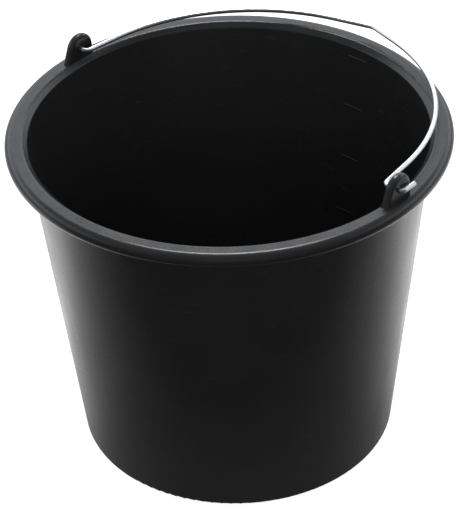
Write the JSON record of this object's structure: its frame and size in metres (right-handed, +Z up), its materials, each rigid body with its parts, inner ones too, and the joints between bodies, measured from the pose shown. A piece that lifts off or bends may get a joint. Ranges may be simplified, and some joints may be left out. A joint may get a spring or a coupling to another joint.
{
  "type": "bucket",
  "caption": "Round tapered plastic bucket with a rolled rim, two upstanding ears, a litre scale inside and a hinged steel wire bail.",
  "frame": {"origin": "centre of the foot ring, on the surface that the bucket stands on. The folded bail reaches 2 mm past the rim, so the middle of the whole part's box lies about 1 mm towards +Y of it.", "axes": "+Z up through the middle of the bucket; +X through one ear and -X through the other, along the bail's hinge axis; +Y towards the side of the rim that the folded bail lies over"},
  "size_m": [0.2958, 0.2977, 0.254],
  "materials": {
    "moulded_plastic": "black, satin, fine moulded grain",
    "bail_wire": "bright zinc-plated drawn wire"
  },
  "bodies": {
    "bucket": {"bucket_body": "moulded_plastic"},
    "bail": {"bail": "bail_wire"}
  },
  "joints": [
    {"name": "bail_hinge", "type": "hinge", "parent": "bucket", "child": "bail", "pos_m": [0, 0, 0.2445], "axis": [1, 0, 0], "range_deg": [-2, 182.5]}
  ]
}
